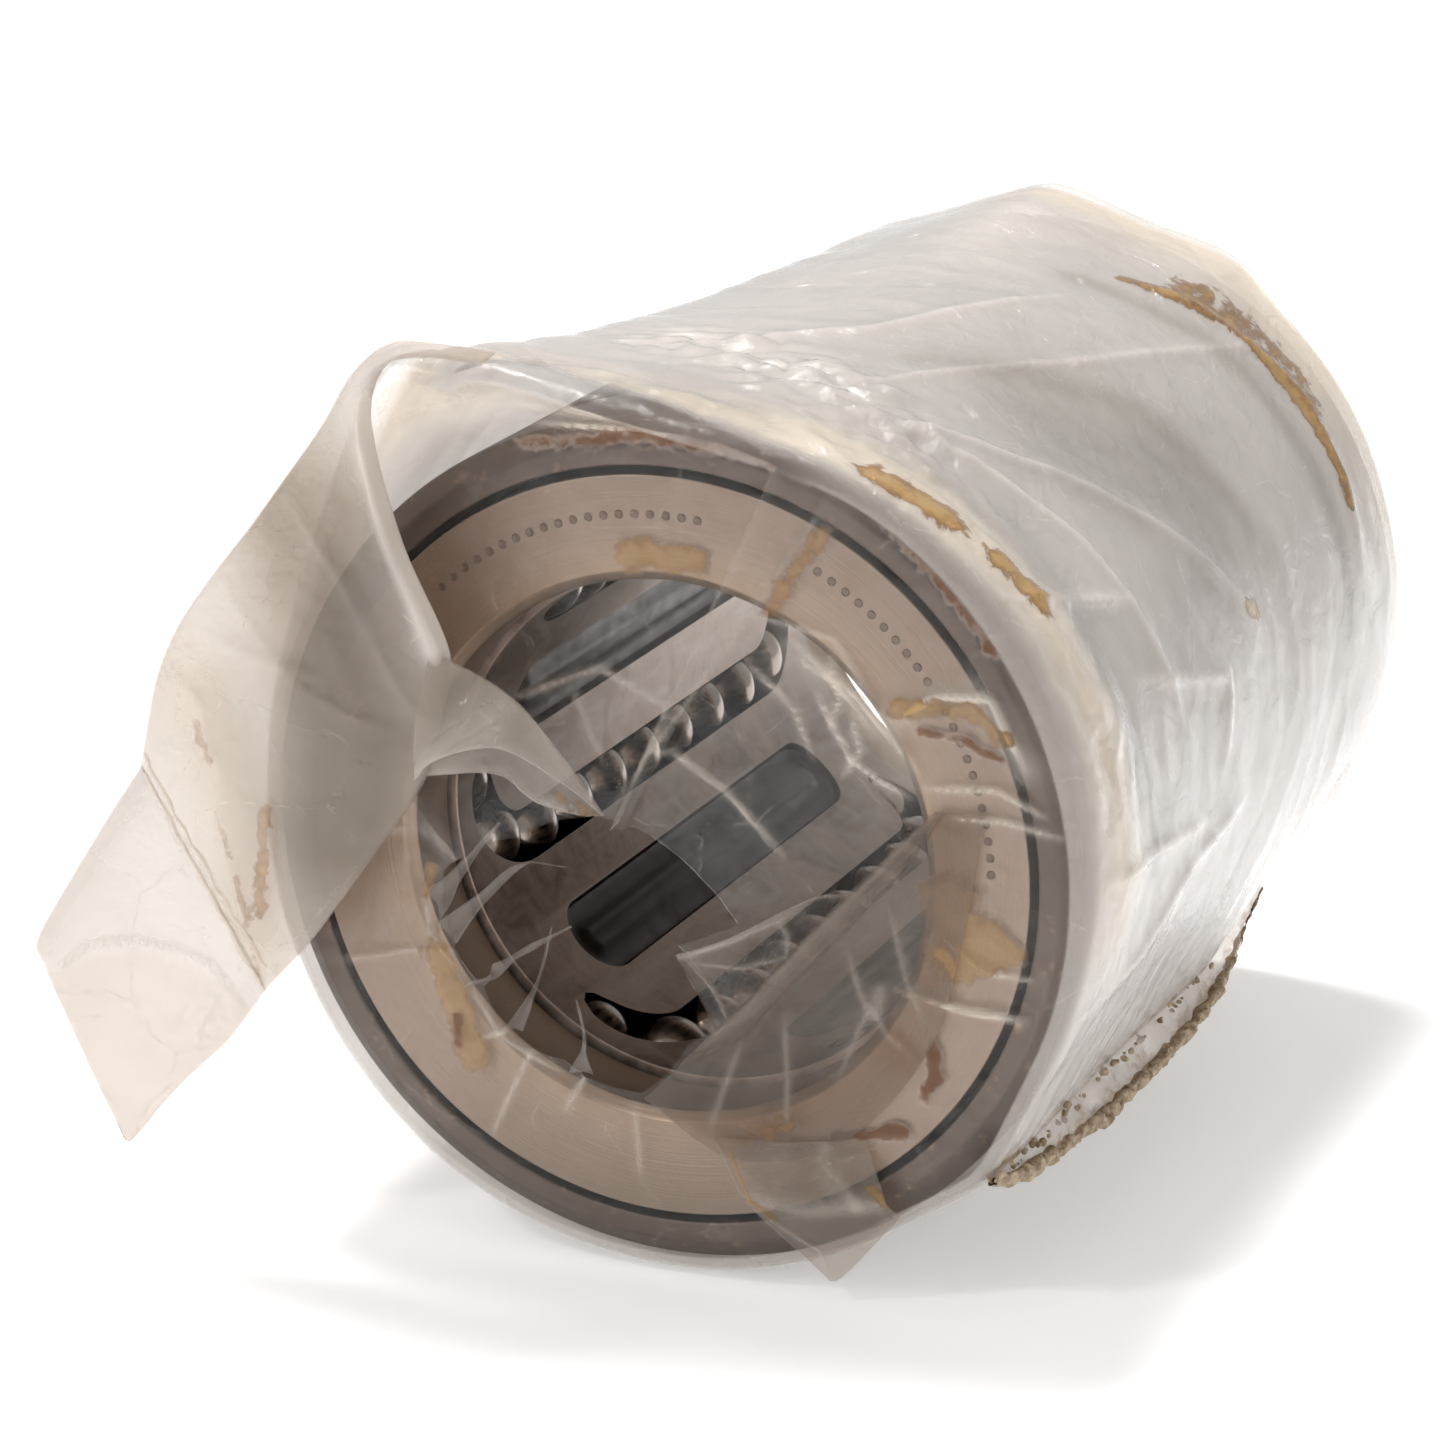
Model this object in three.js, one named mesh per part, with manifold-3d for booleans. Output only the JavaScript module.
// A closed linear ball bushing for a 3/4 in shaft, still wrapped in its clear packing film.
// Millimetres. +Y runs along the bore from the front end to the rear end, +Z is up, and the bushing
// lies on its side. The origin is on the bore's axis, half way between the two ends.
import * as THREE from 'three';
import { mergeVertices } from 'three/addons/utils/BufferGeometryUtils.js';
import Module from 'manifold-3d';

const wasm = await Module();
wasm.setup();

// ---- driving dimensions: the bushing ----
const OUTSIDE_DIAMETER = 31.75;
const LENGTH = 41.275;
const SHAFT_DIAMETER = 19.05;
const END_CHAMFER = 0.8;
const SLEEVE_LIP = 1.5875; // radial width of the sleeve's end band, outside the end ring
const GROOVE_WIDTH = 1.422; // retaining-ring grooves
const GROOVE_DEPTH = 0.94;
const GROOVE_INSET = 5.83; // from the sleeve's end to the groove's outer edge
const RING_THICKNESS = 3.0;
const RING_BORE_CLEARANCE = 0.525; // between the shaft and the end ring's bore
const RING_FIT_GAP = 0.3; // the dark line between end ring and sleeve
const RING_BORE_CHAMFER = 0.4;

// ---- driving dimensions: the ball circuits ----
const CIRCUITS = 6;
const FIRST_CIRCUIT_ANGLE = 258; // degrees from +X towards +Z, of one load row
const BALL_DIAMETER = 3.175;
const BALL_SPACE = 0.075; // least space between neighbouring balls in a turn
const BALLS_PER_TURN = 3;
const RETURN_RISE = 1.17; // the return row runs this much further from the shaft
const RACE_CLEARANCE = 0.05; // over the loaded balls
const RELIEF_CLEARANCE = 0.1; // over the returning balls
const RACE_LAND_WIDTH = 4.0;
const TRACK_CLEARANCE = 0.2; // round the balls in the retainer's tracks
const TRACK_END_WALL = 0.35;
const NECK_DIAMETER = 0.8; // the links that make one body of a ball train

// ---- driving dimensions: the retainer ----
const RETAINER_SHAFT_CLEARANCE = 0.275;
const RETAINER_RACE_CLEARANCE = 0.35;
const RETAINER_END_GAP = 0.3;

// ---- driving dimensions: the film ----
const FILM_THICKNESS = 0.25;
const FILM_GAP = 0.3; // between film and steel, and between one piece of film and the next
const SOLE_HALF_WIDTH = 3.0; // the film lies flat on the surface under the bushing
const RIDGE_ANGLE = 118; // degrees from +X towards +Z, where the film stands off
const RIDGE_HEIGHT = 4.1; // stand-off of the film's ridge at the front end
const RIDGE_FADE = 1.7; // how fast the ridge sinks towards the rear
const MOUTH_CLEARANCE = 0.15; // the film is cut this much inside the end rings' bores
const TAIL_STAND_OFF = 3.1; // from the front face to the tail
const TAIL_THICKNESS = 0.35; // two layers pressed flat
const SEAL_WIDTH = 1.4; // of the heat-seal band across the tail
const SEAM_ANGLE = -40; // degrees from +X towards +Z
const SEAM_THICKNESS = 0.8;
const SEAM_HEIGHT = 0.75;
const SEAM_LENGTH = 34.0;
const SEAM_WAVES = 9;
const CORNER_ANGLE = -65; // degrees from +X towards +Z, where the loose corner hangs

// ---- facets ----
const ROUND_FACETS = 48;
const FILM_FACETS = 48;
const TURN_STEPS = 6;
const BALL_SIDES = 6;
const BALL_RINGS = 4;
const NECK_SIDES = 4;

// ---- sizes that follow ----
const sleeveRadius = OUTSIDE_DIAMETER / 2;
const halfLength = LENGTH / 2;
const seatRadius = sleeveRadius - SLEEVE_LIP;
const ringBoreRadius = SHAFT_DIAMETER / 2 + RING_BORE_CLEARANCE;
const ballRadius = BALL_DIAMETER / 2;
const loadRowRadius = SHAFT_DIAMETER / 2 + ballRadius;
const returnRowRadius = loadRowRadius + RETURN_RISE;
const raceRadius = loadRowRadius + ballRadius + RACE_CLEARANCE;
const reliefRadius = returnRowRadius + ballRadius + RELIEF_CLEARANCE;
const retainerBoreRadius = SHAFT_DIAMETER / 2 + RETAINER_SHAFT_CLEARANCE;
const retainerRadius = raceRadius - RETAINER_RACE_CLEARANCE;
const retainerHalfLength = halfLength - RING_THICKNESS - RETAINER_END_GAP;
const turnRadius = BALL_DIAMETER + BALL_SPACE;
const ballPitch = (Math.PI * turnRadius) / BALLS_PER_TURN;
const trackRadius = ballRadius + TRACK_CLEARANCE;
const straightRoom = 2 * (retainerHalfLength - TRACK_END_WALL - trackRadius - turnRadius);
const ballsPerStraight = Math.floor(straightRoom / ballPitch + 1e-6);
const straightLength = ballsPerStraight * ballPitch;
const filmRadius = sleeveRadius + FILM_GAP;
const filmEnd = halfLength + FILM_GAP + FILM_THICKNESS;
const ridgeReach = TAIL_STAND_OFF - 2 * FILM_GAP - FILM_THICKNESS; // on past the front face
const mouthRadius = ringBoreRadius - MOUTH_CLEARANCE;
const degrees = Math.PI / 180;

// ---- small helpers ----

// One closed geometry with shared corners and no flat triangles, faces pointing out.
function tidyGeometry(geometry) {
  const bare = geometry.clone();
  for (const name of Object.keys(bare.attributes)) {
    if (name !== 'position') bare.deleteAttribute(name);
  }
  const merged = mergeVertices(bare, 1e-4);
  const at = merged.getAttribute('position');
  const corner = (i) => new THREE.Vector3().fromBufferAttribute(at, i);
  const order = merged.getIndex().array;
  const kept = [];
  let volume = 0;
  for (let i = 0; i < order.length; i += 3) {
    const [a, b, c] = [order[i], order[i + 1], order[i + 2]];
    if (a === b || b === c || c === a) continue;
    kept.push(a, b, c);
    volume += corner(a).dot(corner(b).cross(corner(c)));
  }
  if (volume < 0) {
    for (let i = 0; i < kept.length; i += 3) [kept[i], kept[i + 1]] = [kept[i + 1], kept[i]];
  }
  merged.setIndex(kept);
  return merged;
}

function toSolid(geometry) {
  const tidy = tidyGeometry(geometry);
  return new wasm.Manifold(new wasm.Mesh({
    numProp: 3,
    vertProperties: new Float32Array(tidy.getAttribute('position').array),
    triVerts: new Uint32Array(tidy.getIndex().array),
  }));
}

function toGeometry(solid) {
  const { vertProperties, triVerts } = solid.getMesh();
  const geometry = new THREE.BufferGeometry();
  geometry.setAttribute('position', new THREE.BufferAttribute(new Float32Array(vertProperties), 3));
  geometry.setIndex(new THREE.BufferAttribute(new Uint32Array(triVerts), 1));
  return geometry;
}

// A solid of revolution round the bore's axis; outline holds [radius, y] pairs and closes on itself.
function turned(outline, facets = ROUND_FACETS) {
  const points = [...outline, outline[0]].map(([radius, y]) => new THREE.Vector2(radius, y));
  return tidyGeometry(new THREE.LatheGeometry(points, facets));
}

// A plate cut to an outline of [x, z] pairs, lying between two values of y.
function plate(outline, yLow, yHigh) {
  const shape = new THREE.Shape(outline.map(([x, z]) => new THREE.Vector2(x, z)));
  const slab = new THREE.ExtrudeGeometry(shape, { depth: yHigh - yLow, bevelEnabled: false });
  slab.rotateX(Math.PI / 2);
  slab.translate(0, yHigh, 0);
  return tidyGeometry(slab);
}

// A closed loop of sections, each a closed outline with the same number of corners.
function loop(sections) {
  const corners = sections[0].length;
  const index = [];
  for (let i = 0; i < sections.length; i++) {
    const next = (i + 1) % sections.length;
    for (let j = 0; j < corners; j++) {
      const k = (j + 1) % corners;
      const [a, b] = [i * corners + j, i * corners + k];
      const [c, d] = [next * corners + j, next * corners + k];
      index.push(a, b, d, a, d, c);
    }
  }
  const geometry = new THREE.BufferGeometry().setFromPoints(sections.flat());
  geometry.setIndex(index);
  return tidyGeometry(geometry);
}

// [x, z] pairs round an arc, in degrees from +X towards +Z.
function arc(radius, from, to, steps) {
  return Array.from({ length: steps + 1 }, (_, i) => {
    const angle = (from + ((to - from) * i) / steps) * degrees;
    return [radius * Math.cos(angle), radius * Math.sin(angle)];
  });
}

function named(name, geometry, material) {
  const mesh = new THREE.Mesh(geometry, material);
  mesh.name = name;
  return mesh;
}

// ---- materials ----
const steel = (color, roughness) => new THREE.MeshStandardMaterial({ color, roughness, metalness: 1 });
const groundSteel = steel(0xa9a6a3, 0.3);
const ringSteel = steel(0xcdbfb6, 0.45);
const retainerSteel = steel(0x6d6259, 0.5);
const ballSteel = steel(0xe4e4e6, 0.08);
const clearFilm = new THREE.MeshStandardMaterial({
  color: 0xe6ddd2, roughness: 0.25, metalness: 0, transparent: true, opacity: 0.4,
});
const agedResidue = new THREE.MeshStandardMaterial({ color: 0xa88a5c, roughness: 0.85, metalness: 0 });

// ---- where each ball circuit lies ----

// The circuit's oval lies in a flat plane through its load row and its return row. In the oval's own
// frame the load row is at x = -turnRadius, the return row at x = +turnRadius, the rows run along y,
// and +z points away from the shaft.
const rowsApart = 2 * turnRadius;
const rowAngle = Math.acos(
  (loadRowRadius ** 2 + returnRowRadius ** 2 - rowsApart ** 2) / (2 * loadRowRadius * returnRowRadius),
);
const loadRowAt = new THREE.Vector3(0, 0, loadRowRadius);
const returnRowAt = new THREE.Vector3(
  returnRowRadius * Math.sin(rowAngle), 0, returnRowRadius * Math.cos(rowAngle),
);

function ovalFrame(circuit) {
  const turnedTo = new THREE.Group();
  turnedTo.rotation.y = (90 - FIRST_CIRCUIT_ANGLE + (circuit * 360) / CIRCUITS) * degrees;
  const oval = new THREE.Group();
  oval.position.copy(loadRowAt).add(returnRowAt).multiplyScalar(0.5);
  oval.rotation.y = Math.atan2(loadRowAt.z - returnRowAt.z, returnRowAt.x - loadRowAt.x);
  turnedTo.add(oval);
  turnedTo.updateMatrixWorld(true);
  return { turnedTo, oval };
}

// ---- outer sleeve ----
function sleeve() {
  const groove = (sign) => {
    const outer = halfLength - GROOVE_INSET;
    const inner = outer - GROOVE_WIDTH;
    const bottom = sleeveRadius - GROOVE_DEPTH;
    const edges = [[sleeveRadius, outer], [bottom, outer], [bottom, inner], [sleeveRadius, inner]];
    return sign > 0 ? edges.reverse() : edges.map(([radius, y]) => [radius, -y]);
  };
  const body = toSolid(turned([
    [seatRadius, -halfLength],
    [sleeveRadius - END_CHAMFER, -halfLength],
    [sleeveRadius, -halfLength + END_CHAMFER],
    ...groove(-1),
    ...groove(1),
    [sleeveRadius, halfLength - END_CHAMFER],
    [sleeveRadius - END_CHAMFER, halfLength],
    [seatRadius, halfLength],
    [seatRadius, halfLength - RING_THICKNESS],
    [0, halfLength - RING_THICKNESS],
    [0, -halfLength + RING_THICKNESS],
    [seatRadius, -halfLength + RING_THICKNESS],
  ]));
  const landAngle = (Math.asin(RACE_LAND_WIDTH / 2 / raceRadius) / degrees);
  const reliefStep = 360 / CIRCUITS;
  const outline = [];
  for (let i = 0; i < CIRCUITS; i++) {
    const centre = FIRST_CIRCUIT_ANGLE + i * reliefStep;
    outline.push(...arc(raceRadius, centre - landAngle, centre + landAngle, 2));
    outline.push(...arc(reliefRadius, centre + landAngle, centre + reliefStep - landAngle, 6));
  }
  return toGeometry(body.subtract(toSolid(plate(outline, -halfLength, halfLength))));
}

// ---- end rings, flush with the sleeve's ends ----
function endRing(sign) {
  const face = sign * halfLength;
  const back = sign * (halfLength - RING_THICKNESS);
  const outer = seatRadius - RING_FIT_GAP;
  return turned([
    [ringBoreRadius, back],
    [outer, back],
    [outer, face],
    [ringBoreRadius + RING_BORE_CHAMFER, face],
    [ringBoreRadius, face - sign * RING_BORE_CHAMFER],
  ]);
}

// ---- retainer: a tube with a track cut from outside along every circuit ----

// One circuit's track: a round-bottomed channel, open outwards, swept along the oval.
function track() {
  const top = retainerRadius;
  const bottom = [0, 45, 90, 135, 180].map((a) => [
    trackRadius * Math.cos(a * degrees), -trackRadius * Math.sin(a * degrees),
  ]);
  const section = [[trackRadius, top], ...bottom, [-trackRadius, top]];
  const path = [];
  const addTurn = (centreY, from) => {
    for (let i = 0; i <= TURN_STEPS; i++) {
      const angle = from + (Math.PI * i) / TURN_STEPS;
      path.push([Math.cos(angle), Math.sin(angle), centreY]);
    }
  };
  addTurn(straightLength / 2, 0);
  addTurn(-straightLength / 2, Math.PI);
  return loop(path.map(([outX, outY, centreY]) => section.map(([side, up]) => new THREE.Vector3(
    outX * (turnRadius + side), centreY + outY * (turnRadius + side), up,
  ))));
}

function retainer() {
  let body = toSolid(turned([
    [retainerBoreRadius, -retainerHalfLength],
    [retainerRadius, -retainerHalfLength],
    [retainerRadius, retainerHalfLength],
    [retainerBoreRadius, retainerHalfLength],
  ]));
  const cut = toSolid(track());
  for (let i = 0; i < CIRCUITS; i++) {
    body = body.subtract(cut.transform(ovalFrame(i).oval.matrixWorld.elements));
  }
  return toGeometry(body);
}

// ---- ball trains: neighbouring balls of one circuit that move as one ----
function ballTrain(centres) {
  const ball = toSolid(new THREE.SphereGeometry(ballRadius, BALL_SIDES, BALL_RINGS));
  let train = ball.translate(centres[0].toArray());
  for (let i = 1; i < centres.length; i++) {
    const along = centres[i].clone().sub(centres[i - 1]);
    const radius = NECK_DIAMETER / 2;
    const neck = new THREE.CylinderGeometry(radius, radius, along.length(), NECK_SIDES);
    const turn = new THREE.Quaternion();
    turn.setFromUnitVectors(new THREE.Vector3(0, 1, 0), along.clone().normalize());
    neck.applyQuaternion(turn);
    neck.translate(...centres[i].clone().add(centres[i - 1]).multiplyScalar(0.5).toArray());
    train = train.add(toSolid(neck)).add(ball.translate(centres[i].toArray()));
  }
  return toGeometry(train);
}

const rowCentres = Array.from({ length: ballsPerStraight }, (_, i) => (
  new THREE.Vector3(0, (i - (ballsPerStraight - 1) / 2) * ballPitch, 0)
));
const turnCentres = Array.from({ length: BALLS_PER_TURN }, (_, i) => {
  const angle = (Math.PI * (i + 0.5)) / BALLS_PER_TURN;
  return new THREE.Vector3(Math.cos(angle), Math.sin(angle), 0).multiplyScalar(turnRadius);
});

function circuit(number) {
  const { turnedTo, oval } = ovalFrame(number - 1);
  const row = ballTrain(rowCentres);
  const turn = ballTrain(turnCentres);
  const load = named(`load_balls_${number}`, row, ballSteel);
  load.position.x = -turnRadius;
  const back = named(`return_balls_${number}`, row, ballSteel);
  back.position.x = turnRadius;
  const rear = named(`rear_turn_balls_${number}`, turn, ballSteel);
  rear.position.y = straightLength / 2;
  const front = named(`front_turn_balls_${number}`, turn, ballSteel);
  front.position.y = -straightLength / 2;
  front.rotation.z = Math.PI;
  oval.add(load, back, rear, front);
  return turnedTo;
}

// ---- film ----

// The taut film round the sleeve: it hugs the sleeve, lies flat under it, and at the upper left runs
// in two straight flanks up to a ridge that sinks towards the rear.
function filmOuterRadius(angle, y) {
  const hug = filmRadius + FILM_THICKNESS;
  const share = Math.max(0, (halfLength - 4 - y) / (2 * halfLength - 4));
  const ridge = hug + RIDGE_HEIGHT * Math.min(1, share) ** RIDGE_FADE;
  const flank = Math.acos(hug / ridge);
  const offRidge = Math.abs(((angle - RIDGE_ANGLE + 540) % 360) - 180) * degrees;
  if (offRidge < flank) return hug / Math.cos(flank - offRidge);
  const offSole = Math.abs(((angle + 90 + 540) % 360) - 180) * degrees;
  return offSole <= Math.atan2(SOLE_HALF_WIDTH, hug) + 1e-9 ? hug / Math.cos(offSole) : hug;
}

function filmSleeve() {
  const soleAngle = Math.atan2(SOLE_HALF_WIDTH, filmRadius + FILM_THICKNESS) / degrees;
  const facet = 360 / FILM_FACETS;
  const angles = Array.from({ length: FILM_FACETS }, (_, i) => i * facet)
    .filter((a) => Math.abs(a - 270) > soleAngle + facet / 4)
    .concat([270 - soleAngle, 270 + soleAngle])
    .sort((a, b) => a - b);
  const stations = [-1, -0.72, -0.4, 0, 0.45, 1];
  return loop(angles.map((angle) => {
    const stand = filmOuterRadius(angle, -halfLength) - filmRadius - FILM_THICKNESS;
    const front = filmEnd + ridgeReach * Math.min(1, Math.max(0, stand) / RIDGE_HEIGHT)
      * (Math.abs(angle - RIDGE_ANGLE) < 60 ? 1 : 0);
    const places = stations.map((s) => (s < 0 ? s * front : s * filmEnd));
    const at = (radius, y) => new THREE.Vector3(
      radius * Math.cos(angle * degrees), y, radius * Math.sin(angle * degrees),
    );
    const nearSole = Math.abs(angle - 270) <= soleAngle + 1e-9;
    const outside = places.map((y) => at(filmOuterRadius(angle, Math.max(y, -halfLength)), y));
    const inside = places.map((y) => at(
      filmOuterRadius(angle, Math.max(y, -halfLength)) - FILM_THICKNESS
        / (nearSole ? Math.cos((angle - 270) * degrees) : 1), y,
    )).reverse();
    return [...outside, ...inside];
  }));
}

// The film folded in over an end face, cut open round the bore.
function filmCover(sign) {
  const inner = sign * (halfLength + FILM_GAP);
  const outer = inner + sign * FILM_THICKNESS;
  return turned([
    [mouthRadius, inner],
    [sleeveRadius, inner],
    [sleeveRadius, outer],
    [mouthRadius, outer],
  ]);
}

// Film across the bore's mouth, torn away over its lower left quarter.
function filmVeil() {
  const radius = mouthRadius - FILM_GAP;
  const torn = [[-2.4, 1.0], [-0.6, -1.2], [0.9, -3.2], [-0.2, -6.4]];
  const outer = -(halfLength + FILM_GAP + FILM_THICKNESS);
  return plate([...arc(radius, -95, 176, 26), ...torn], outer, outer + FILM_THICKNESS);
}

// The film tube's flattened end, folded over at the ridge so that it hangs as a tail. Its corners are
// given from the ridge's top.
const tailBack = -(halfLength + TAIL_STAND_OFF);
const tailFront = tailBack - TAIL_THICKNESS;
const ridgeRadius = filmRadius + FILM_THICKNESS + RIDGE_HEIGHT;
const ridgeTop = new THREE.Vector2(
  ridgeRadius * Math.cos(RIDGE_ANGLE * degrees), ridgeRadius * Math.sin(RIDGE_ANGLE * degrees),
);
const fromRidge = (corners) => corners.map(([x, z]) => [ridgeTop.x + x, ridgeTop.y + z]);
const sealStart = new THREE.Vector2(-9.0, -13.2).add(ridgeTop);
const sealEnd = new THREE.Vector2(-3.6, -23.3).add(ridgeTop);
const across = sealEnd.clone().sub(sealStart).normalize();
const downTail = new THREE.Vector2(across.y, -across.x);
const pastSeal = (point, distance) => point.clone().addScaledVector(downTail, distance).toArray();

function filmTail() {
  return plate([
    ...fromRidge([[1.0, 0.1], [-1.0, -1.1], [-3.1, -4.0], [-5.6, -7.2], [-8.1, -10.5]]),
    pastSeal(sealStart, -FILM_GAP), pastSeal(sealEnd, -FILM_GAP),
    ...fromRidge([
      [-1.1, -19.9], [0.6, -17.4], [2.3, -15.1], [5.4, -15.5], [8.5, -16.1],
      [6.4, -13.7], [4.3, -11.7], [1.6, -7.2], [0.8, -3.3],
    ]),
  ], tailFront, tailBack);
}

function tailSeal() {
  return plate([
    pastSeal(sealStart, 0), pastSeal(sealStart, SEAL_WIDTH), pastSeal(sealEnd, SEAL_WIDTH),
    pastSeal(sealEnd, 0),
  ], tailFront, tailBack);
}

function tailEnd() {
  return plate([
    pastSeal(sealStart, SEAL_WIDTH + FILM_GAP),
    ...fromRidge([[-11.3, -17.7], [-14.2, -23.5], [-12.6, -26.8], [-10.4, -30.6], [-7.6, -27.4]]),
    pastSeal(sealEnd, SEAL_WIDTH + FILM_GAP),
  ], tailFront, tailBack);
}

// The wrap's trimmed fin seam, with a crumbled edge, low on the right.
function finSeam() {
  const foot = filmRadius + FILM_THICKNESS + FILM_GAP;
  const start = -halfLength;
  const edge = Array.from({ length: SEAM_WAVES + 1 }, (_, i) => {
    const wave = i % 2 === 0 ? 0 : -0.25;
    return [foot + SEAM_HEIGHT + wave, start + (SEAM_LENGTH * i) / SEAM_WAVES];
  });
  const outline = [[foot, start], ...edge, [foot, start + SEAM_LENGTH]];
  const shape = new THREE.Shape(outline.map(([radius, y]) => new THREE.Vector2(radius, y)));
  const fin = new THREE.ExtrudeGeometry(shape, { depth: SEAM_THICKNESS, bevelEnabled: false });
  fin.translate(0, 0, -SEAM_THICKNESS / 2);
  fin.rotateY(-SEAM_ANGLE * degrees);
  return tidyGeometry(fin);
}

// A loose corner of torn film that hangs at the bottom of the front face, from a point on the
// sleeve's edge.
function looseCorner() {
  const back = -(halfLength + 2 * FILM_GAP + FILM_THICKNESS);
  const [x, z] = arc(sleeveRadius, CORNER_ANGLE, CORNER_ANGLE, 1)[0];
  const outline = [[-3.3, 3.2], [0.3, -1.2], [2.3, 1.8], [0.9, 3.8]];
  return plate(outline.map(([right, up]) => [x + right, z + up]), back - FILM_THICKNESS, back);
}

// ---- the whole object ----
const bushing = new THREE.Group();
bushing.name = 'ball_bushing';
bushing.add(
  named('outer_sleeve', sleeve(), groundSteel),
  named('front_end_ring', endRing(-1), ringSteel),
  named('rear_end_ring', endRing(1), ringSteel),
  named('ball_retainer', retainer(), retainerSteel),
);
for (let number = 1; number <= CIRCUITS; number++) bushing.add(circuit(number));
bushing.add(
  named('film_sleeve', filmSleeve(), clearFilm),
  named('film_front_cover', filmCover(-1), clearFilm),
  named('film_rear_cover', filmCover(1), clearFilm),
  named('film_bore_veil', filmVeil(), clearFilm),
  named('film_tail', filmTail(), clearFilm),
  named('tail_heat_seal', tailSeal(), clearFilm),
  named('tail_end', tailEnd(), clearFilm),
  named('film_fin_seam', finSeam(), agedResidue),
  named('film_loose_corner', looseCorner(), clearFilm),
);

export default bushing;
